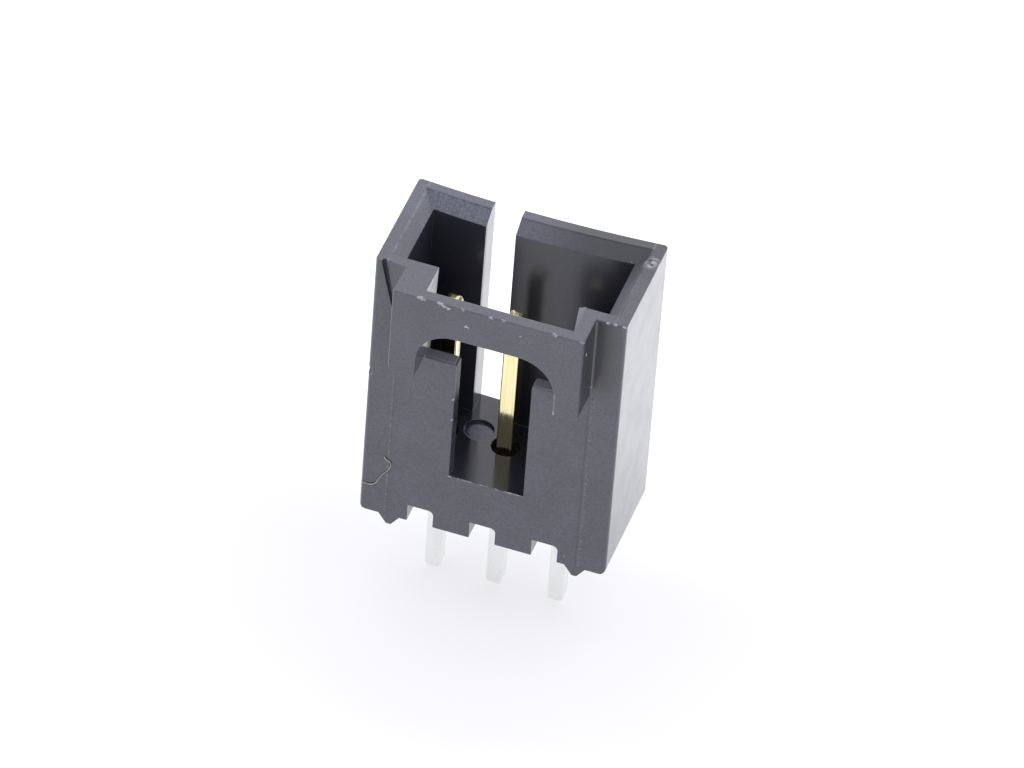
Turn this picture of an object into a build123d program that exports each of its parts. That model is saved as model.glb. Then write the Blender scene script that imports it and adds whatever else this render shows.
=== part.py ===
"""Shrouded three-way pin header, upright, with a latch bridge in front and a keying slot behind.

Millimetres. X runs along the row of pins, +Y points to the slotted back wall and +Z points up, out of the mouth.
The origin is on the middle pin's axis, in the plane of the circuit board that the four feet stand on.
"""
import math
import os

from build123d import *

# Pins
pin_pitch = 2.54
pin_width = 0.64
pin_edge_radius = 0.05
pin_rise = 6.93
pin_point_length = 0.33
pin_point_width = 0.2
tail_length = 3.72
tail_point_length = 0.32
tail_point_width = 0.32

# Shroud, outside
end_margin = 2.49
front_reach = 2.41
back_reach = 2.65
body_height = 12.9
upright_edge_radius = 0.16
base_end_radius = 0.28
edge_round = 0.05

# Shroud, inside
side_wall = 0.98
front_wall = 0.54
back_wall = 1.07
back_wall_bow = 0.22
floor_thickness = 2.91
rim_flat = 0.48
lead_in_depth = 0.42
slot_width = 1.2

# Window in the front wall
window_width = 3.0
window_edge_radius = 0.08
plate_rise = 5.76
plate_corner_radius = 0.15

# Latch bridge
bridge_inset = 1.21
bridge_reach = 1.42
bridge_height = 4.05
bridge_bar = 0.48
bridge_corner_radius = 0.25
left_arm_width = 1.18
left_arm_lean = 0.13
right_arm_width = 0.57
leg_width = 1.03
arch_height = 2.42
arch_radius = 1.5
arm_root_radius = 0.1
shoulder_width = 0.29
shoulder_drop = 0.13

# Wedge-shaped relief beside the left arm, on the front of the shroud
relief_width = 0.94
relief_height = 3.9
relief_slope = 11.0

# Underside
drain_width = 1.06
drain_height = 0.8
drain_corner_radius = 0.22
foot_height = 0.45
foot_inset = 1.23
foot_root_width = 0.85
foot_tip_width = 0.2
foot_length = 1.1

# Marks of the mould
pin_well_radius = 0.58
pin_well_depth = 0.4
floor_dimple_radius = 0.59
floor_dimple_depth = 0.13
floor_dimple_setback = 0.5
witness_gap = 0.13
witness_width = 0.07
witness_height = 0.015
rim_mark_radius = 0.22
rim_mark_depth = 0.04
rim_mark_nub = 0.09
rim_mark_setback = 1.45
nick_radius = 0.22
nick_rise = 7.15

# Worked out from the sizes above
pin_names = ["pin_left", "pin_middle", "pin_right"]
row_half = pin_pitch * (len(pin_names) - 1) / 2
pin_places = [index * pin_pitch - row_half for index in range(len(pin_names))]
half_length = row_half + end_margin
front_y = -front_reach
back_y = back_reach
inner_half = half_length - side_wall
inner_front_y = front_y + front_wall
inner_back_y = back_y - back_wall
base_z = foot_height
floor_z = base_z + floor_thickness
rim_z = base_z + body_height
lead_in_z = rim_z - lead_in_depth
slot_x = -pin_pitch / 2
plate_z = floor_z + plate_rise
bridge_y = front_y - bridge_reach
bridge_z = rim_z - bridge_height
bridge_half = half_length - bridge_inset
left_arm_x = left_arm_width - bridge_half
right_arm_x = bridge_half - right_arm_width
arch_half = bridge_half - leg_width
arch_z = bridge_z + arch_height
foot_x = half_length - foot_inset
pin_top_z = floor_z + pin_rise
past = 1.0
lap = 0.1
touch = 0.01


def block(x0, x1, y0, y1, z0, z1):
    """Box between two corners."""
    centre = Pos((x0 + x1) / 2, (y0 + y1) / 2, (z0 + z1) / 2)
    return centre * Box(x1 - x0, y1 - y0, z1 - z0)


def wall_plan(half, y0, y1):
    """Plan of the shroud: a rectangle whose back edge is drawn in at the middle."""
    left = Line((-half, y1), (-half, y0))
    front = Line((-half, y0), (half, y0))
    right = Line((half, y0), (half, y1))
    back = ThreePointArc((half, y1), (0, y1 - back_wall_bow), (-half, y1))
    return make_face(left + front + right + back)


def along_y(points, y0, y1):
    """Prism whose X-Z outline runs from one depth to another."""
    outline = Polyline(*points, close=True)
    face = make_face(Plane.XZ * outline)
    return Pos(0, y0, 0) * extrude(face, y1 - y0, dir=(0, 1, 0))


def edges_along(shape, axis):
    """Straight edges that run parallel to an axis."""
    return shape.edges().filter_by(axis)


def near(edges, **place):
    """Edges whose middle lies at the given coordinates."""
    def matches(edge):
        middle = edge.center()
        spots = {"x": middle.X, "y": middle.Y, "z": middle.Z}
        return all(abs(spots[name] - value) < touch for name, value in place.items())
    return edges.filter_by(matches)


def flare(lower, z0, upper, z1):
    """Solid with straight sides between two plans."""
    return loft([Pos(0, 0, z0) * lower, Pos(0, 0, z1) * upper], ruled=True)


def shroud():
    """Four walls and a floor, with the mouth's lead-in, its broken edge and the keying slot."""
    body = Pos(0, 0, base_z) * extrude(wall_plan(half_length, front_y, back_y), body_height)
    body = fillet(edges_along(body, Axis.Z), upright_edge_radius)
    body = fillet(near(body.edges(), z=rim_z), edge_round)
    profile = block(-half_length, half_length, front_y - past, back_y + past, base_z, rim_z)
    body = body & fillet(near(edges_along(profile, Axis.Y), z=base_z), base_end_radius)
    cavity_plan = wall_plan(inner_half, inner_front_y, inner_back_y)
    mouth_plan = wall_plan(half_length - rim_flat, inner_front_y, back_y - rim_flat)
    rim_plan = wall_plan(half_length - rim_flat + edge_round, inner_front_y - edge_round,
                         back_y - rim_flat + edge_round)
    cavity = Pos(0, 0, floor_z) * extrude(cavity_plan, lead_in_z - floor_z)
    mouth = flare(cavity_plan, lead_in_z, mouth_plan, rim_z - edge_round)
    edge = flare(mouth_plan, rim_z - edge_round, rim_plan, rim_z)
    slot = block(slot_x - slot_width / 2, slot_x + slot_width / 2, 0, back_y + past, floor_z, rim_z + past)
    return body - cavity - mouth - edge - slot


def left_side(z):
    """Inner side of the left arm at a height: it leans, so that the space beside it narrows towards the rim."""
    return left_arm_x - left_arm_lean * (rim_z - z) / bridge_height


def bay(right_x, low, high, y0, y1):
    """Space to the right of the left arm's inner side."""
    outline = [(left_side(low), low), (left_side(high), high), (right_x, high), (right_x, low)]
    return along_y(outline, y0, y1)


def front_opening():
    """Window between the two front plates, and the gap above them."""
    depth = (front_y - past, inner_front_y + past)
    gap = bay(right_arm_x, plate_z, rim_z + past, *depth)
    window = block(-window_width / 2, window_width / 2, *depth, floor_z, plate_z + past)
    opening = gap + window
    corners = near(edges_along(opening, Axis.Y), z=plate_z)
    corners = corners.filter_by(lambda edge: abs(edge.center().X) < window_width / 2 + touch)
    return fillet(corners, plate_corner_radius)


def bridge():
    """Two arms and the bar across them, with the arch under the bar."""
    whole = block(-bridge_half, bridge_half, bridge_y, inner_front_y - edge_round, bridge_z, rim_z)
    whole = fillet(near(edges_along(whole, Axis.Y), z=bridge_z), bridge_corner_radius)
    outside = near(edges_along(whole, Axis.Z), y=bridge_y)
    outside += near(edges_along(whole, Axis.X), y=bridge_y, z=rim_z)
    outside += near(edges_along(whole, Axis.Y), z=rim_z)
    whole = fillet(outside, edge_round)
    pocket = bay(right_arm_x, bridge_z - past, rim_z + past, bridge_y + bridge_bar, front_y + past)
    arch = bay(arch_half, bridge_z - past, arch_z, bridge_y - past, front_y)
    crown = near(edges_along(arch, Axis.Y), z=arch_z)
    arch = fillet(crown, arch_radius)
    return whole - pocket - arch


def relief():
    """Three-cornered wedge beside the left arm, with no depth at the arm and its full depth at the outer edge."""
    outline = [(0, past), (0, -relief_height), (-relief_width, 0), (-relief_width, past)]
    return Pos(-bridge_half, front_y, rim_z) * Rot(0, 0, -relief_slope) * along_y(outline, -past, 0)


def arm_root(side):
    """Concave rounding where an arm's outer side meets the front of the shroud."""
    x = side * bridge_half
    low = bridge_z + bridge_corner_radius
    near_x, far_x = sorted((x, x + side * arm_root_radius))
    web = block(near_x, far_x, front_y - arm_root_radius, front_y + lap, low, rim_z - edge_round)
    round_cut = Cylinder(arm_root_radius, rim_z - low + past)
    return web - Pos(x + side * arm_root_radius, front_y - arm_root_radius, (low + rim_z) / 2) * round_cut


def shoulder():
    """Sloping corner on the inner side of the right arm, which grows towards the mouth."""
    length = inner_front_y - bridge_y - bridge_bar
    plan = Polyline((0, 0), (0, -length), (-shoulder_width, 0), close=True)
    post = Pos(right_arm_x, inner_front_y, bridge_z) * extrude(make_face(plan), rim_z - bridge_z, dir=(0, 0, 1))
    slope = math.degrees(math.atan2(shoulder_drop, shoulder_width))
    top = Box(2 * past, 4 * past, past, align=(Align.CENTER, Align.CENTER, Align.MIN))
    return post - Pos(right_arm_x, inner_front_y, rim_z) * Rot(0, -slope, 0) * top


def drains():
    """Channel under each pin, from the front to the back."""
    channels = []
    for x in pin_places:
        channel = block(x - drain_width / 2, x + drain_width / 2, front_y - past, back_y + past,
                        base_z - past, base_z + drain_height)
        roof = near(edges_along(channel, Axis.Y), x=x + drain_width / 2, z=base_z + drain_height)
        channels.append(fillet(roof, drain_corner_radius))
    return channels


def feet():
    """Four small wedges that hold the base clear of the board."""
    wedges = []
    for x in (-foot_x, foot_x):
        outline = [(x - foot_root_width / 2, base_z), (x - foot_tip_width / 2, 0), (x + foot_tip_width / 2, 0),
                   (x + foot_root_width / 2, base_z)]
        wedges.append(along_y(outline, front_y, front_y + foot_length))
        wedges.append(along_y(outline, back_y - foot_length - back_wall_bow, back_y - back_wall_bow))
    return wedges


def pin_holes():
    """Square hole and round well for each pin."""
    cuts = []
    for x in pin_places:
        half = pin_width / 2
        hole = block(x - half, x + half, -half, half, base_z, floor_z)
        cuts.append(fillet(edges_along(hole, Axis.Z), pin_edge_radius))
        cuts.append(Pos(x, 0, floor_z - pin_well_depth / 2) * Cylinder(pin_well_radius, pin_well_depth))
    return cuts


def mould_marks():
    """Floor dimple, rim mark and a nick in the left edge."""
    dimple = Pos(slot_x, floor_dimple_setback, floor_z - floor_dimple_depth / 2)
    cuts = [dimple * Cylinder(floor_dimple_radius, floor_dimple_depth)]
    ring = Cylinder(rim_mark_radius, rim_mark_depth) - Cylinder(rim_mark_nub, rim_mark_depth)
    cuts.append(Pos(half_length - rim_flat / 2, rim_mark_setback, rim_z - rim_mark_depth / 2) * ring)
    cuts.append(Pos(-half_length, front_y, base_z + nick_rise) * Sphere(nick_radius))
    return cuts


def witness_lines():
    """Thin upright ridge on the front, beside each end of the bridge."""
    ridges = []
    for x in (-bridge_half - witness_gap, bridge_half + witness_gap):
        ridges.append(block(x - witness_width / 2, x + witness_width / 2, front_y - witness_height,
                            front_y + lap, base_z, bridge_z))
    return ridges


def housing():
    """The whole moulding."""
    body = shroud() - front_opening()
    body = fillet(near(edges_along(body, Axis.Z), x=-window_width / 2, y=front_y), window_edge_radius)
    body = fillet(near(edges_along(body, Axis.Z), x=window_width / 2, y=front_y), window_edge_radius)
    body = body - relief()
    for added in [bridge(), arm_root(-1), arm_root(1), shoulder()] + witness_lines():
        body = body + added
    for cut in drains() + pin_holes() + mould_marks():
        body = body - cut
    for wedge in feet():
        body = body + wedge
    return body


def point(tip_width, length):
    """Domed four-sided end that stands on the X-Y plane and starts as wide as the pin."""
    sections = []
    for turn in (0, 30, 60, 90):
        angle = math.radians(turn)
        width = tip_width + (pin_width - tip_width) * math.cos(angle)
        section = RectangleRounded(width, width, pin_edge_radius)
        sections.append(Pos(0, 0, length * math.sin(angle)) * section)
    return loft(sections, ruled=True)


def pin():
    """Square post, pointed at the mating end and at the tail."""
    bottom = -tail_length + tail_point_length
    top = pin_top_z - pin_point_length
    half = pin_width / 2
    shank = block(-half, half, -half, half, bottom, top)
    shank = fillet(edges_along(shank, Axis.Z), pin_edge_radius)
    tip = Pos(0, 0, top) * point(pin_point_width, pin_point_length)
    tail = Pos(0, 0, bottom) * Rot(180, 0, 0) * point(tail_point_width, tail_point_length)
    return shank + tip + tail


os.makedirs("parts", exist_ok=True)
export_step(housing(), "parts/housing.step")
for name, x in zip(pin_names, pin_places):
    export_step(Pos(x, 0, 0) * pin(), f"parts/{name}.step")
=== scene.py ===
# %% [markdown]
# A three-way shrouded pin header, dressed for its portrait.
#
# The real part is one black plastic moulding with three square pins pressed through its floor. It is small: 10 mm
# long and 17 mm tall with its tails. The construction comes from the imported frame, and this lesson adds the looks:
# the plastic's finish, the plating on the pins, the small marks that handling has left, the light and the camera.
# Blender works in metres, so each size below is written in millimetres and turned to metres where it is used.

# %% Load the frame
import math

import bmesh
import bpy
from mathutils import Euler, Matrix, Vector


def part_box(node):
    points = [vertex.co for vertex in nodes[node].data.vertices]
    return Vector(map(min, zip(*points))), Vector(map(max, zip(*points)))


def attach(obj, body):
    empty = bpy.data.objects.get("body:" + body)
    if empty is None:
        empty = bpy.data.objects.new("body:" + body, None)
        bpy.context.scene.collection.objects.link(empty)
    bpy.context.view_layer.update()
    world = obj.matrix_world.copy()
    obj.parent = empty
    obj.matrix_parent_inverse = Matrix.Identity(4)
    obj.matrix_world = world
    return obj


MM = 0.001
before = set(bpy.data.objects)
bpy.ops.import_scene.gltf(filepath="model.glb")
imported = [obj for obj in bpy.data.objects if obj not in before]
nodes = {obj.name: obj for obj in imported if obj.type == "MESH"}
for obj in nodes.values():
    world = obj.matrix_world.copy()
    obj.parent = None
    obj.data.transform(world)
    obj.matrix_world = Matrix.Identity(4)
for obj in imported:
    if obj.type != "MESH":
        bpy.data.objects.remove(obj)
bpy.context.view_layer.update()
print("nodes:", sorted(nodes))

# %% [markdown]
# Sizes that the finish needs. The outer ones are read from the frame, so the finish follows the solid. The inner
# ones are levels and lines on the moulding where its skin changes: the floor of the cavity, the start of the
# lead-in, the front of the shroud, its window and the arms of the latch bridge. Levels are along Z, lines along X
# or Y.

# %% Measure the frame
housing_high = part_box("housing")[1] / MM
pin_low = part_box("pin_middle")[0] / MM
rim_level = housing_high.z
side_line = housing_high.x
table_level = pin_low.z
floor_level = 3.36
arm_foot_level = 9.3
lead_in_level = 12.93
front_line = -2.41
bridge_back_line = -2.91
window_line = -1.5
leg_line = 2.84
arm_line = 3.82
witness_line = 3.985
ridge_line = 4.55
cavity_half = 4.06
cavity_front = -1.88
cavity_back = 1.62
dimple_place = (-1.27, 0.5, 3.23)
dimple_radius = 0.62
print("rim at", round(rim_level, 2), "table at", round(table_level, 2), "sides at", round(side_line, 2))

# %% [markdown]
# The camera. The photograph was taken from the right, well above the part, through a long lens, so its edges hardly
# converge. The place and turn below came from matching the corners of the solid to the corners in the photograph.

# %% Camera
camera_place = Vector((76.572, -267.500, 262.052))
camera_turn = (47.361, -3.353, 19.049)
camera_lens = 346.34
sensor_width = 36.0
near_clip = 0.01
far_clip = 10.0


def place_camera():
    """The one camera, aimed by three turns about X, Y and Z."""
    data = bpy.data.cameras.new("camera")
    data.lens = camera_lens
    data.sensor_width = sensor_width
    data.clip_start = near_clip
    data.clip_end = far_clip
    camera = bpy.data.objects.new("camera", data)
    camera.location = camera_place * MM
    camera.rotation_euler = Euler([math.radians(turn) for turn in camera_turn])
    bpy.context.scene.collection.objects.link(camera)
    bpy.context.scene.camera = camera
    return camera


place_camera()
print("camera", round(camera_place.length), "mm away")


# %% [markdown]
# A small kit for finishes. Each material is a recipe that reads the piece's own coordinates, in millimetres. A
# procedural material is a short sum on coordinates, so it needs no picture and stays sharp at any distance.

# %% Kit: a recipe
class Recipe:
    """One material, its shader, and the place and facing of each point of the piece."""

    def __init__(self, name):
        self.material = bpy.data.materials.new(name)
        self.material.use_nodes = True
        self.tree = self.material.node_tree
        self.shader = self.tree.nodes["Principled BSDF"]
        corner = self.add("ShaderNodeTexCoord")
        self.place = self.scaled(corner.outputs["Object"], (1 / MM,) * 3)
        self.x, self.y, self.z = self.add("ShaderNodeSeparateXYZ", Vector=self.place).outputs
        facing = self.add("ShaderNodeSeparateXYZ", Vector=corner.outputs["Normal"])
        self.face_x, self.face_y, self.face_z = facing.outputs

    def add(self, kind, settings=None, **inputs):
        """A node with its settings, and its sockets linked or set."""
        node = self.tree.nodes.new(kind)
        for name, value in (settings or {}).items():
            setattr(node, name, value)
        for name, value in inputs.items():
            self.feed(node.inputs[name], value)
        return node

    def feed(self, socket, value):
        """Links an output to a socket, or sets its number or colour."""
        if isinstance(value, bpy.types.NodeSocket):
            self.tree.links.new(value, socket)
        else:
            socket.default_value = value

    def scaled(self, place, scale):
        """Coordinates stretched along the axes."""
        return self.add("ShaderNodeMapping", Vector=place, Scale=scale).outputs[0]

    def math(self, operation, first, second=0.0):
        """One sum on two values."""
        node = self.add("ShaderNodeMath", {"operation": operation})
        self.feed(node.inputs[0], first)
        self.feed(node.inputs[1], second)
        return node.outputs[0]


print("recipe kit ready")


# %% [markdown]
# Patterns and masks. A mask is one where a finish applies and nothing elsewhere: it comes from a range of X, Y or
# Z, or from the way a face points. Masks are multiplied to cut them to a place, and the greater of two is taken to
# lay them side by side. Noise stays mostly between 0.3 and 0.7, so a mask that comes from noise is stretched over
# about that range.

# %% Kit: patterns and masks
class Finish(Recipe):
    """A recipe with the patterns and masks that the finishes share."""

    def noise(self, scale, detail=2.0, roughness=0.5, place=None):
        """Cloudy noise, about scale spots to a millimetre."""
        node = self.add("ShaderNodeTexNoise", Vector=place or self.place, Scale=scale, Detail=detail,
                        Roughness=roughness)
        return node.outputs["Fac"]

    def spread(self, value, low, high, to_low=0.0, to_high=1.0):
        """Maps a value smoothly from one range to another, held at both ends."""
        node = self.add("ShaderNodeMapRange", {"interpolation_type": "SMOOTHSTEP"}, Value=value)
        for index, number in enumerate((low, high, to_low, to_high)):
            node.inputs[index + 1].default_value = number
        return node.outputs[0]

    def band(self, value, low, high, soft=0.01):
        """One between two limits, fading to nothing outside them."""
        rise = self.spread(value, low - soft, low)
        fall = self.spread(value, high, high + soft, 1.0, 0.0)
        return self.math("MULTIPLY", rise, fall)

    def all_of(self, *masks):
        """Where every mask applies."""
        result = masks[0]
        for mask in masks[1:]:
            result = self.math("MULTIPLY", result, mask)
        return result

    def any_of(self, *masks):
        """Where one mask or another applies."""
        result = masks[0]
        for mask in masks[1:]:
            result = self.math("MAXIMUM", result, mask)
        return result

    def layer(self, base, mask, value):
        """The base value, turned into another one where the mask applies."""
        node = self.add("ShaderNodeMix", {"data_type": "FLOAT"})
        self.feed(node.inputs["Factor"], mask)
        self.feed(node.inputs[2], base)
        self.feed(node.inputs[3], value)
        return node.outputs[0]

    def blend(self, share, first, second):
        """A colour between two others."""
        node = self.add("ShaderNodeMix", {"data_type": "RGBA"})
        self.feed(node.inputs["Factor"], share)
        self.feed(node.inputs[6], first)
        self.feed(node.inputs[7], second)
        return node.outputs[2]


print("pattern kit ready")


# %% [markdown]
# Specks and spots. Dust and nicks are scattered by a cell pattern: each cell has a centre and a number of its own,
# and a cell shows a speck only where its number is low enough. A spot is one mark at a chosen place. An edge is found
# where the normal that a Bevel node rounds turns away from the true one.

# %% Kit: specks, spots and edges
bevel_samples = 6


class Marks(Finish):
    """A finish with small marks."""

    def specks(self, spacing, size, share, place=None):
        """Round specks, in a share of the cells, each up to a size across."""
        node = self.add("ShaderNodeTexVoronoi", Vector=place or self.place, Scale=1 / spacing)
        near = self.spread(node.outputs["Distance"], 0.3 * size / spacing, 0.6 * size / spacing, 1.0, 0.0)
        number = self.add("ShaderNodeSeparateColor", Color=node.outputs["Color"]).outputs[0]
        chosen = self.math("LESS_THAN", number, share)
        return self.math("MULTIPLY", near, chosen)

    def jitter(self, scale, reach):
        """Places pushed about at random by up to a reach, for ragged outlines."""
        push = self.add("ShaderNodeTexNoise", Vector=self.place, Scale=scale, Detail=2.0).outputs["Color"]
        node = self.add("ShaderNodeVectorMath", {"operation": "MULTIPLY_ADD"})
        self.feed(node.inputs[0], push)
        node.inputs[1].default_value = (2 * reach,) * 3
        centred = self.add("ShaderNodeVectorMath", {"operation": "SUBTRACT"})
        self.feed(centred.inputs[0], self.place)
        centred.inputs[1].default_value = (reach,) * 3
        self.feed(node.inputs[2], centred.outputs[0])
        return node.outputs[0]

    def spot(self, centre, radius, flat=(1, 1, 1), place=None):
        """One soft round mark; flat shortens it along the axes."""
        offset = self.add("ShaderNodeVectorMath", {"operation": "SUBTRACT"})
        self.feed(offset.inputs[0], place or self.place)
        offset.inputs[1].default_value = centre
        reach = self.scaled(offset.outputs[0], flat)
        far = self.add("ShaderNodeVectorMath", {"operation": "LENGTH"})
        self.feed(far.inputs[0], reach)
        return self.spread(far.outputs["Value"], 0.5 * radius, radius, 1.0, 0.0)

    def edge(self, radius):
        """One along sharp edges, from the turn of a rounded normal."""
        rounded = self.add("ShaderNodeBevel", {"samples": bevel_samples}, Radius=radius * MM).outputs[0]
        true = self.add("ShaderNodeNewGeometry").outputs["Normal"]
        dot = self.add("ShaderNodeVectorMath", {"operation": "DOT_PRODUCT"})
        self.feed(dot.inputs[0], rounded)
        self.feed(dot.inputs[1], true)
        return self.spread(dot.outputs["Value"], 0.97, 0.8)


def dress(node, material):
    """Puts a material in every slot of a piece."""
    if not node.data.materials:
        node.data.materials.append(material)
    for slot in node.material_slots:
        slot.material = material


print("mark kit ready")


# %% [markdown]
# The plastic is nearly black and was moulded in a steel tool. Its skin differs from place to place: the floor of the
# cavity is polished, the walls are half gloss, and the rim round the mouth is dull and mottled, where the tool was
# eroded instead of polished. So the material starts with a map of those places, and of the places on and beside the
# right arm where shade is painted into the colour. Most masks fade over a fiftieth of a millimetre, which looks
# sharp in a render and still has no jagged border.

# %% Where the skin changes
fade = 0.02


def map_skin(skin):
    """Masks for the places that the tool finished differently, and for those by the right arm where shade is painted.
    """
    up = skin.spread(skin.face_z, 0.85, 0.95)
    inside_x = skin.band(skin.x, -cavity_half, cavity_half)
    inside_y = skin.band(skin.y, cavity_front, cavity_back)
    below_lead_in = skin.spread(skin.z, lead_in_level, lead_in_level + fade, 1.0, 0.0)
    above_floor = skin.spread(skin.z, floor_level, floor_level + fade)
    slanted = skin.band(skin.face_z, 0.3, 0.85, fade)
    floor = skin.all_of(up, skin.band(skin.z, floor_level - 0.5, floor_level + fade))
    sunk = skin.spread(skin.z, floor_level - 0.06, floor_level - 0.08)
    near_front = skin.band(skin.y, front_line - fade, front_line + fade)
    before_front = skin.spread(skin.y, front_line + fade / 2, front_line - fade / 2)
    return {
        "floor": floor,
        "dimple": skin.all_of(floor, skin.spot(Vector(dimple_place), dimple_radius), sunk),
        "inside": skin.all_of(inside_x, inside_y, above_floor, below_lead_in),
        "rim": skin.all_of(up, skin.spread(skin.z, rim_level - 0.06, rim_level - 0.04)),
        "lead_in": skin.all_of(slanted, skin.spread(skin.z, lead_in_level - fade, lead_in_level)),
        "right": skin.spread(skin.face_x, 0.9, 0.97),
        "outer_right": skin.spread(skin.x, side_line - 0.03, side_line - 0.01),
        "beside_arm": skin.all_of(skin.spread(skin.x, arm_line, arm_line + fade),
                                  skin.spread(skin.z, arm_foot_level + 0.1, arm_foot_level + 0.9), near_front),
        "arm_side": skin.all_of(skin.band(skin.x, arm_line - 0.03, arm_line + 0.01), before_front),
    }


def layer_places(skin, base, numbers):
    """A base value, with another number in each of the places that are named."""
    for place, number in numbers.items():
        base = skin.layer(base, places[place], number)
    return base


skin = Marks("housing_plastic")
places = map_skin(skin)
mouth = skin.any_of(places["rim"], places["lead_in"])
print("places on the skin:", sorted(places))

# %% [markdown]
# Colour. The plastic is a blue-black, and what makes it look grey is a faint haze on its skin. So the colour is a
# mix of two, the bare plastic and the hazed one, and the haze follows the places above, with clouds a few
# millimetres wide and grain finer than a tenth of a millimetre. The same share also carries painted shade: it is
# lowered inside the cavity, on the outer side of the right arm and on the front beside that arm, which darkens
# them as shade would.

# %% Haze on the skin, with painted shade
bare_plastic = (0.013, 0.0138, 0.019, 1.0)
hazed_plastic = (0.104, 0.107, 0.158, 1.0)
# Painted shade: the low share inside the cavity is partly its glossier skin and partly painted shade in the recess,
# and the lowest, on the outer side of the right arm, is painted shade in that corner.
haze_and_shade_shares = {"arm_side": 0.03, "inside": 0.10, "floor": 0.09, "dimple": 0.8, "rim": 0.27, "lead_in": 0.30}
grain = skin.noise(11.0, 4.0, 0.7)
cloud = skin.noise(0.5, 3.0, 0.55)


def lay_haze_and_shade(skin):
    """Share of the hazed skin by place, with clouds, fading to the right of the mouth, painted shade beside the right
    arm, and grain on top.
    """
    haze_and_shade = layer_places(skin, skin.spread(cloud, 0.3, 0.7, 0.24, 0.34), haze_and_shade_shares)
    at_back = skin.math("MULTIPLY", mouth, skin.spread(skin.y, 0.0, 1.0))
    fading = [
        (at_back, skin.spread(skin.x, -1.0, 2.6, 1.5, 0.08)),
        (mouth, skin.spread(skin.x, 3.8, 4.4, 1.0, 0.6)),
        # Painted shade: the front beside the right arm darkens towards the arm, standing for the arm's shadow and its
        # dark reflection there.
        (places["beside_arm"], skin.spread(skin.x, 4.2, 5.1)),
    ]
    for mask, gain in fading:
        haze_and_shade = skin.math("MULTIPLY", haze_and_shade, skin.layer(1.0, mask, gain))
    uneven = skin.layer(skin.spread(grain, 0.3, 0.7, 0.55, 1.45), mouth, skin.spread(grain, 0.3, 0.7, 0.4, 1.6))
    return skin.math("MULTIPLY", haze_and_shade, uneven)


haze_and_shade = lay_haze_and_shade(skin)
print("bare plastic", bare_plastic[:3], "hazed", hazed_plastic[:3])


# %% [markdown]
# Streaks and rubbed places. Fine upright streaks on the left of the back lead-in look like the marks of a tool that
# was ground by hand. They are noise that is stretched along Y and Z. The edge of the left plate beside the window is
# rough and grey near its top, as if a latch had rubbed it.

# %% Streaks and rubbed places
streak_stretch = (1.0, 0.08, 0.08)
rub_start = 6.9
rub_full = 8.0


def add_streaks(skin, haze_and_shade):
    """Upright streaks on the left of the back lead-in."""
    streak = skin.noise(20.0, 2.0, 0.6, skin.scaled(skin.place, streak_stretch))
    at_left = skin.spread(skin.x, window_line - 0.1, window_line - 0.4)
    where = skin.all_of(places["lead_in"], at_left, skin.spread(skin.y, cavity_back - 0.22, cavity_back - fade))
    gain = skin.layer(1.0, where, skin.spread(streak, 0.35, 0.65, 0.8, 1.5))
    return skin.math("MULTIPLY", haze_and_shade, gain)


def rub_plate(skin, haze_and_shade):
    """A rough grey strip on the left plate's edge, beside the window."""
    across = skin.band(skin.y, front_line - fade, cavity_front + fade)
    beside = skin.band(skin.x, window_line - fade, window_line + fade)
    rise = skin.spread(skin.z, rub_start, rub_full)
    rough = skin.spread(skin.noise(7.0, 3.0, 0.7), 0.3, 0.6, 0.35, 1.0)
    where = skin.all_of(across, beside, rise, rough)
    return skin.layer(haze_and_shade, where, 1.0), where


haze_and_shade = add_streaks(skin, haze_and_shade)
haze_and_shade, rubbed = rub_plate(skin, haze_and_shade)
print("streaks and rubbed strip laid")

# %% [markdown]
# Small marks. Handling has left pale flecks on the sharp edges of the latch bridge and the window, and a little
# dust. The flecks are a list of places, in millimetres, each with its radius. A painted highlight along the lower
# edge of the window, another down the inner edge of the right leg, and the parting lines come from bands of X, Y
# and Z that noise breaks up, and the dust is scattered.

# %% Flecks, painted highlights and dust
edge_flecks = [
    (-2.72, -3.80, 13.34, 0.11), (-2.56, -3.83, 13.31, 0.07), (-1.92, -3.81, 13.33, 0.10),
    (-1.78, -3.83, 13.27, 0.07), (-1.60, -3.83, 13.22, 0.09), (-1.03, -3.80, 13.34, 0.07),
    (0.10, -3.81, 13.33, 0.08), (0.62, -3.80, 13.34, 0.08), (2.65, -3.81, 13.33, 0.09),
    (3.76, -3.82, 13.33, 0.10), (-0.83, -3.83, 12.54, 0.08), (1.30, -3.83, 12.80, 0.05),
    (3.82, -3.40, 12.40, 0.11), (-1.50, -2.41, 7.33, 0.07), (-1.50, -2.41, 6.26, 0.07),
    (-1.50, -2.41, 3.90, 0.05), (4.98, -2.41, 13.33, 0.10), (4.60, -2.41, 13.34, 0.08),
    (4.30, -2.41, 13.34, 0.08),
]
fleck_flat = (0.6, 1.0, 1.3)
dust_spacing = 0.55
dust_size = 0.07
dust_share = 0.10


def scatter_flecks(skin):
    """Pale spots on the edges, from the list, with ragged outlines."""
    ragged = skin.jitter(12.0, 0.09)
    lightened = [skin.spot(Vector(fleck[:3]), fleck[3], fleck_flat, ragged) for fleck in edge_flecks]
    return skin.math("MULTIPLY", skin.any_of(*lightened), skin.spread(skin.noise(7.0, 2.0, 0.6), 0.35, 0.6, 0.25, 0.9))


def paint_sill_highlight(skin):
    """A thin broken painted highlight along the lower edge of the window."""
    along = skin.band(skin.x, window_line - fade, -window_line, 0.03)
    low = skin.band(skin.z, floor_level - 0.035, floor_level + fade, 0.015)
    front = skin.spread(skin.y, front_line + 0.03, front_line + fade)
    broken = skin.spread(skin.noise(2.6, 3.0, 0.7), 0.42, 0.6, 0.0, 0.8)
    return skin.all_of(along, low, front, broken)


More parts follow.
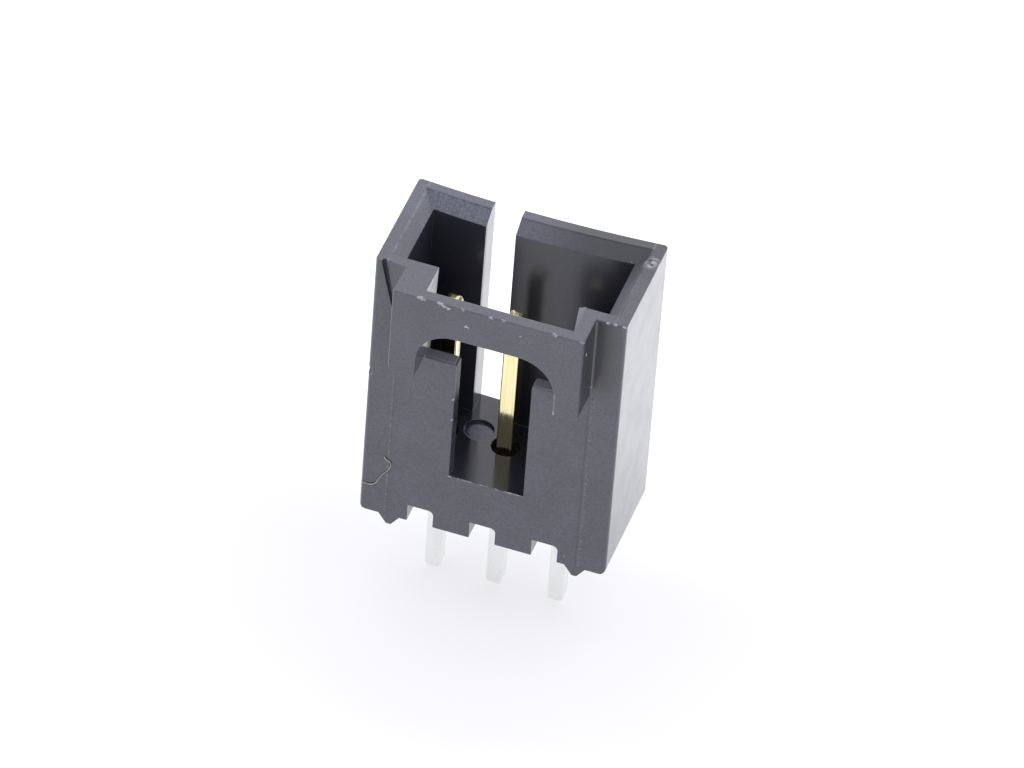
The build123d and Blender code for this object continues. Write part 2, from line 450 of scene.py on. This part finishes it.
def paint_leg_highlight(skin):
    """A painted highlight: a bright line down the inner edge of the right leg."""
    beside = skin.band(skin.x, leg_line - fade, leg_line + fade, fade)
    rise = skin.band(skin.z, arm_foot_level + 0.03, arm_foot_level + 1.0, 0.1)
    front = skin.spread(skin.y, bridge_back_line, bridge_back_line - 0.1)
    broken = skin.spread(skin.noise(3.0, 2.0, 0.6), 0.35, 0.65, 0.12, 0.6)
    return skin.all_of(beside, rise, front, broken)


def speckle_lines(skin):
    """Broken pale specks along the mould's parting lines on the front, and a dull ridge round the mouth."""
    across = skin.math("ABSOLUTE", skin.x)
    seam = skin.band(across, witness_line - 0.05, witness_line + 0.03, 0.01)
    front = skin.all_of(skin.spread(skin.y, front_line + 0.03, front_line + 0.01),
                        skin.spread(skin.z, arm_foot_level + 0.1, arm_foot_level - 0.1))
    broken = skin.spread(skin.noise(7.0, 4.0, 0.75), 0.5, 0.66, 0.0, 0.3)
    ridge = skin.all_of(skin.band(across, ridge_line - 0.03, ridge_line + 0.03, fade),
                        skin.spread(skin.z, rim_level - 0.12, rim_level - 0.08),
                        skin.spread(skin.noise(2.5, 3.0, 0.6), 0.35, 0.6, 0.02, 0.2))
    return skin.any_of(skin.all_of(seam, front, broken), ridge)


# One mask for the pale flecks, the painted highlights on the sill and the leg, and the seam specks.
lightened = skin.any_of(scatter_flecks(skin), paint_sill_highlight(skin), paint_leg_highlight(skin), speckle_lines(skin))
outside = skin.math("SUBTRACT", 1.0, places["inside"])
dust = skin.math("MULTIPLY", skin.specks(dust_spacing, dust_size, dust_share), outside)
print(len(edge_flecks), "flecks placed by hand")


# %% [markdown]
# A small ring on the rim, at the right, is paler than the rim round it, as where the tool pushes a moulding out. Tiny
# dark specks lie on the glossy right side.

# %% Tool mark and specks
ring_place = (4.74, 1.42, 13.33)
ring_radius = 0.42
speck_spacing = 0.5
speck_size = 0.06
speck_share = 0.22


def whiten_ring(skin):
    """Paler plastic in the ring on the rim."""
    curl = skin.spread(skin.noise(4.5, 2.0, 0.5, skin.jitter(3.0, 0.3)), 0.42, 0.56, 0.15, 1.0)
    return skin.all_of(skin.spot(Vector(ring_place), ring_radius, place=skin.jitter(6.0, 0.08)), curl)


def speck_side(skin):
    """Dark specks of dust on the glossy right side."""
    return skin.math("MULTIPLY", skin.specks(speck_spacing, speck_size, speck_share), places["outer_right"])


ring = whiten_ring(skin)
dark_specks = speck_side(skin)
print("ring and specks laid")


# %% [markdown]
# Now the parts come together. The colour starts as haze and painted shade over bare plastic, with a little more
# haze on the edges, which is partly wear and partly a painted highlight. Over it lie the rubbed strip, the ring, the
# specks, the dust, the flecks and the painted highlights on the sill and the leg. How strongly each shows is a share.

# %% Colour of the plastic
# One pale colour serves the flecks, the rubbed strip, the ring and the dust, and the painted highlights.
pale_mark_and_highlight = (0.36, 0.36, 0.40, 1.0)
speck_grey = (0.004, 0.004, 0.005, 1.0)
edge_wear_highlight_radius = 0.05
edge_wear_highlight_share = 0.5
rubbed_share = 0.35
ring_share = 0.6
dust_paleness = 0.45


def mix_colour(skin):
    """Base colour from the hazed skin with painted shade, edges partly worn and partly with a painted highlight,
    rubbed patches, specks, pale spots and painted highlights.
    """
    # Painted highlight and wear: the edges are lightened, partly as wear and partly as a painted highlight on their
    # rounding.
    patchy = skin.spread(skin.noise(3.0, 3.0, 0.7), 0.4, 0.62)
    edge_wear_highlight = skin.math("MULTIPLY", skin.edge(edge_wear_highlight_radius), patchy)
    share = skin.math("ADD", haze_and_shade, skin.math("MULTIPLY", edge_wear_highlight, edge_wear_highlight_share))
    colour = skin.blend(share, bare_plastic, hazed_plastic)
    colour = skin.blend(skin.math("MULTIPLY", rubbed, rubbed_share), colour, pale_mark_and_highlight)
    colour = skin.blend(skin.math("MULTIPLY", ring, ring_share), colour, pale_mark_and_highlight)
    colour = skin.blend(dark_specks, colour, speck_grey)
    colour = skin.blend(skin.math("MULTIPLY", dust, dust_paleness), colour, pale_mark_and_highlight)
    return skin.blend(lightened, colour, pale_mark_and_highlight)


print("pale flecks", pale_mark_and_highlight[:3], "specks", speck_grey[:3])


# %% [markdown]
# The edges of a moulding are never quite sharp, so a Bevel node rounds the normals a few hundredths of a millimetre
# at each edge, and edges catch the light as on the real part. A clear coat gives the second, smoother gloss that
# shows most where the skin is seen at a low angle, as on the right side. The lists below give a number for some of
# the places on the skin, and the open number holds everywhere else.

# %% Gloss and grain of the plastic
open_grain_depth = 0.55
grain_depths = {"right": 0.1, "inside": 0.1, "floor": 0.02}
# The weak coat on the outer side of the right arm dims its gloss, as painted shade in that corner.
coat_weights = {"outer_right": 0.55, "arm_side": 0.1, "inside": 0.35, "floor": 0.0}
open_coat = 0.6
inside_roughness = 0.3
dimple_roughness = 0.35
mouth_roughness = 0.5
fleck_roughness = 0.6
fleck_height = 0.6
edge_radius = 0.03
grain_height = 0.01
plastic_ior = 1.55
coat_ior = 1.5
coat_roughness = 0.16


def mix_roughness(skin):
    """Polished floor, half-gloss walls, dull rim."""
    rough = skin.spread(cloud, 0.3, 0.7, 0.3, 0.38)
    rough = skin.layer(rough, places["right"], skin.spread(skin.noise(0.8, 3.0, 0.6), 0.35, 0.65, 0.17, 0.25))
    rough = skin.layer(rough, places["inside"], inside_roughness)
    rough = skin.layer(rough, places["floor"], skin.spread(skin.y, -1.6, 0.2, 0.15, 0.08))
    rough = skin.layer(rough, places["dimple"], dimple_roughness)
    rough = skin.layer(rough, mouth, mouth_roughness)
    return skin.layer(rough, skin.any_of(lightened, rubbed), fleck_roughness)


def mix_height(skin):
    """Height of the grain, as a share of its full height, which it has round the mouth."""
    depth = layer_places(skin, open_grain_depth, grain_depths)
    depth = skin.layer(skin.layer(depth, mouth, 1.0), rubbed, 1.0)
    height = skin.math("MULTIPLY", grain, depth)
    return skin.math("ADD", height, skin.math("MULTIPLY", lightened, fleck_height))


def finish_plastic(skin):
    """Feeds the shader of the moulding."""
    rounded = skin.add("ShaderNodeBevel", {"samples": bevel_samples}, Radius=edge_radius * MM).outputs[0]
    bump = skin.add("ShaderNodeBump", Height=mix_height(skin), Distance=grain_height * MM, Strength=1.0,
                    Normal=rounded)
    skin.feed(skin.shader.inputs["Base Color"], mix_colour(skin))
    skin.feed(skin.shader.inputs["Roughness"], mix_roughness(skin))
    skin.feed(skin.shader.inputs["Normal"], bump.outputs[0])
    skin.feed(skin.shader.inputs["Coat Normal"], rounded)
    skin.feed(skin.shader.inputs["Coat Weight"], layer_places(skin, open_coat, coat_weights))
    skin.shader.inputs["IOR"].default_value = plastic_ior
    skin.shader.inputs["Coat Roughness"].default_value = coat_roughness
    skin.shader.inputs["Coat IOR"].default_value = coat_ior


finish_plastic(skin)
dress(nodes["housing"], skin.material)
print("plastic has", len(skin.tree.nodes), "nodes")


# %% [markdown]
# The pins are one square wire with two platings: gold where the plug makes contact, tin below the moulding where
# the pin is soldered. The gold is bright, with fine streaks along the pin from drawing the wire. The tin is duller
# and slightly cloudy. Both are metal, so one material holds them, parted inside the floor. The gold is duller at the
# very tip, where the wire was cut to a point.

# %% Pin plating
plating_limit = 2.0
dull_tip_level = 9.9
pin_edge_radius = 0.04
drawn_stretch = (1.0, 1.0, 0.03)
cloudy_stretch = (1.0, 1.0, 0.3)
gold = (0.96, 0.885, 0.55, 1.0)
deep_gold = (0.92, 0.81, 0.44, 1.0)
tin = (0.89, 0.895, 0.885, 1.0)
dull_tin = (0.83, 0.835, 0.825, 1.0)


def plate_pins():
    """One material for all pins: gold above, tin below."""
    plating = Finish("contact_plating")
    above = plating.spread(plating.z, plating_limit - 0.01, plating_limit + 0.01)
    drawn = plating.noise(14.0, 2.0, 0.6, plating.scaled(plating.place, drawn_stretch))
    cloudy = plating.noise(1.6, 2.0, 0.5, plating.scaled(plating.place, cloudy_stretch))
    warm = plating.blend(plating.spread(drawn, 0.35, 0.65), gold, deep_gold)
    cool = plating.blend(plating.spread(cloudy, 0.35, 0.7), tin, dull_tin)
    plating.feed(plating.shader.inputs["Base Color"], plating.blend(above, cool, warm))
    rough_gold = plating.spread(drawn, 0.3, 0.7, 0.05, 0.14)
    tip = plating.spread(plating.z, dull_tip_level, dull_tip_level + 0.1)
    rough_gold = plating.layer(rough_gold, tip, 0.3)
    rough_tin = plating.spread(cloudy, 0.3, 0.7, 0.26, 0.32)
    plating.feed(plating.shader.inputs["Roughness"], plating.layer(rough_tin, above, rough_gold))
    rounded = plating.add("ShaderNodeBevel", {"samples": bevel_samples}, Radius=pin_edge_radius * MM).outputs[0]
    height = plating.layer(plating.math("MULTIPLY", cloudy, 0.2), above, plating.math("MULTIPLY", drawn, 0.3))
    bump = plating.add("ShaderNodeBump", Height=height, Distance=grain_height * MM, Strength=1.0, Normal=rounded)
    plating.feed(plating.shader.inputs["Normal"], bump.outputs[0])
    plating.shader.inputs["Metallic"].default_value = 1.0
    return plating.material


pin_finish = plate_pins()
for name in nodes:
    if name.startswith("pin"):
        dress(nodes[name], pin_finish)
print("pins plated, tin below", plating_limit, "mm")

# %% [markdown]
# A hair of lint clings to the front, near the left edge. It could be a curve with a round bevel, but a ring that is
# extruded along a path gives a mesh at once. The ring starts as a small circle, and each step of the path draws it
# on by one segment. The path was read on the front face, and it stands a little proud of the skin. Each of its
# points has X, Z, the distance that it stands proud, and the hair's thickness there as a share.

# %% Lint
lint_radius = 0.018
lint_sides = 8
lint_path = [
    (-5.03, 1.86, 0.03, 0.6), (-4.92, 1.83, 0.03, 1.0), (-4.80, 1.81, 0.03, 1.0), (-4.68, 1.81, 0.04, 1.1),
    (-4.56, 1.85, 0.05, 1.1), (-4.46, 1.92, 0.05, 1.1), (-4.38, 2.02, 0.05, 1.0), (-4.33, 2.14, 0.05, 0.9),
    (-4.28, 2.27, 0.05, 0.9), (-4.22, 2.40, 0.05, 0.9), (-4.14, 2.53, 0.05, 0.9), (-4.06, 2.65, 0.05, 0.9),
    (-3.98, 2.76, 0.06, 0.9), (-3.91, 2.88, 0.06, 1.0), (-3.86, 3.00, 0.06, 1.0), (-3.83, 3.12, 0.06, 1.0),
    (-3.84, 3.22, 0.05, 1.0), (-3.90, 3.28, 0.05, 1.2), (-3.97, 3.30, 0.05, 1.7), (-4.05, 3.34, 0.05, 1.3),
    (-4.10, 3.41, 0.05, 1.6), (-4.12, 3.47, 0.04, 0.6),
]
lint_white = (0.36, 0.34, 0.26, 1.0)
lint_dark = (0.05, 0.05, 0.045, 1.0)
lint_roughness = 0.6


def draw_lint():
    """A hair: a small ring drawn along its path, turned and resized at each step."""
    points = [Vector((x, front_line - proud, z)) for x, z, proud, _ in lint_path]
    sizes = [size for _, _, _, size in lint_path]
    mesh = bmesh.new()
    heading = (points[1] - points[0]).normalized()
    turn = heading.to_track_quat("Z", "Y").to_matrix().to_4x4()
    bmesh.ops.create_circle(mesh, segments=lint_sides, radius=lint_radius * sizes[0], cap_ends=True,
                            matrix=Matrix.Translation(points[0]) @ turn)
    face = mesh.faces[:][0]
    for index in range(1, len(points)):
        face = bmesh.ops.extrude_discrete_faces(mesh, faces=[face])["faces"][0]
        ring = face.verts[:]
        bmesh.ops.translate(mesh, verts=ring, vec=points[index] - points[index - 1])
        ahead = points[min(index + 1, len(points) - 1)]
        wanted = (ahead - points[index - 1]).normalized()
        turn = heading.rotation_difference(wanted).to_matrix()
        bmesh.ops.rotate(mesh, verts=ring, cent=points[index], matrix=turn)
        growth = sizes[index] / sizes[index - 1]
        bmesh.ops.scale(mesh, verts=ring, vec=(growth,) * 3, space=Matrix.Translation(-points[index]))
        heading = wanted
    bmesh.ops.holes_fill(mesh, edges=[edge for edge in mesh.edges if edge.is_boundary])
    bmesh.ops.recalc_face_normals(mesh, faces=mesh.faces[:])
    bmesh.ops.scale(mesh, verts=mesh.verts[:], vec=(MM,) * 3)
    return mesh


def place_lint():
    """The hair as a smooth piece that rides with the part."""
    mesh = draw_lint()
    open_edges = sum(edge.is_boundary for edge in mesh.edges)
    data = bpy.data.meshes.new("lint")
    mesh.to_mesh(data)
    mesh.free()
    data.shade_smooth()
    lint = bpy.data.objects.new("lint", data)
    bpy.context.scene.collection.objects.link(lint)
    smooth = lint.modifiers.new("smooth", "SUBSURF")
    smooth.levels = 1
    smooth.render_levels = 1
    hair = Finish("lint_hair")
    pale = hair.spread(hair.noise(5.0, 3.0, 0.6), 0.3, 0.7, 0.55, 1.0)
    hair.feed(hair.shader.inputs["Base Color"], hair.blend(pale, lint_dark, lint_white))
    hair.shader.inputs["Roughness"].default_value = lint_roughness
    dress(lint, hair.material)
    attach(lint, "root")
    print("lint has", len(data.polygons), "faces and", open_edges, "open edges")


place_lint()

# %% [markdown]
# The studio. The part stands on its tails on a pale table under a white tent. The table glows a little, as a lit
# sheet of acrylic does, so the shadow under the part stays faint and wide. It glows more behind the part and a few
# millimetres away from it. The tent is a white world, weaker round the opening that the camera looks through.

# %% Table and light
table_half = 900.0
table_white = (0.30, 0.30, 0.30, 1.0)
table_roughness = 0.9
table_glow = (1.0, 1.0, 1.02, 1.0)
front_glow = 0.605
back_glow = 0.9
back_span = (2.0, 10.0)
far_glow = 0.14
far_span = (9.0, 17.0)
far_stretch = (0.8, 1.0, 1.0)
tent_white = (0.985, 0.99, 1.05, 1.0)
tent_strength = 1.7
opening_strength = 0.7
opening_way = (0.1, -0.70, 0.70)
opening_edge = (0.72, 0.93)


def lay_table():
    """A plain pale sheet at the tips of the tails, a little brighter behind the part and away from it."""
    mesh = bmesh.new()
    bmesh.ops.create_grid(mesh, x_segments=1, y_segments=1, size=table_half * MM)
    bmesh.ops.translate(mesh, verts=mesh.verts[:], vec=(0, 0, table_level * MM))
    sheet = bpy.data.meshes.new("table")
    mesh.to_mesh(sheet)
    mesh.free()
    table = bpy.data.objects.new("table", sheet)
    bpy.context.scene.collection.objects.link(table)
    paper = Finish("table_acrylic")
    paper.shader.inputs["Base Color"].default_value = table_white
    paper.shader.inputs["Roughness"].default_value = table_roughness
    paper.shader.inputs["Specular IOR Level"].default_value = 0.0
    paper.shader.inputs["Emission Color"].default_value = table_glow
    glow = paper.spread(paper.y, *back_span, front_glow, back_glow)
    oval = paper.scaled(paper.place, far_stretch)
    away = paper.add("ShaderNodeVectorMath", {"operation": "LENGTH"}, Vector=oval).outputs["Value"]
    glow = paper.math("ADD", glow, paper.spread(away, *far_span, 0.0, far_glow))
    paper.feed(paper.shader.inputs["Emission Strength"], glow)
    dress(table, paper.material)


def hang_tent():
    """Soft white light from every side, weaker round the opening that the camera looks through."""
    world = bpy.data.worlds.new("tent")
    world.use_nodes = True
    tree = world.node_tree
    background = tree.nodes["Background"]
    way = tree.nodes.new("ShaderNodeTexCoord")
    facing = tree.nodes.new("ShaderNodeVectorMath")
    facing.operation = "DOT_PRODUCT"
    facing.inputs[1].default_value = opening_way
    strength = tree.nodes.new("ShaderNodeMapRange")
    strength.interpolation_type = "SMOOTHSTEP"
    for index, number in enumerate((*opening_edge, tent_strength, opening_strength)):
        strength.inputs[index + 1].default_value = number
    tree.links.new(way.outputs["Generated"], facing.inputs[0])
    tree.links.new(facing.outputs["Value"], strength.inputs["Value"])
    tree.links.new(strength.outputs[0], background.inputs["Strength"])
    background.inputs["Color"].default_value = tent_white
    bpy.context.scene.world = world


lay_table()
hang_tent()
bpy.context.scene.view_settings.view_transform = "Standard"
print("tent strength", tent_strength)
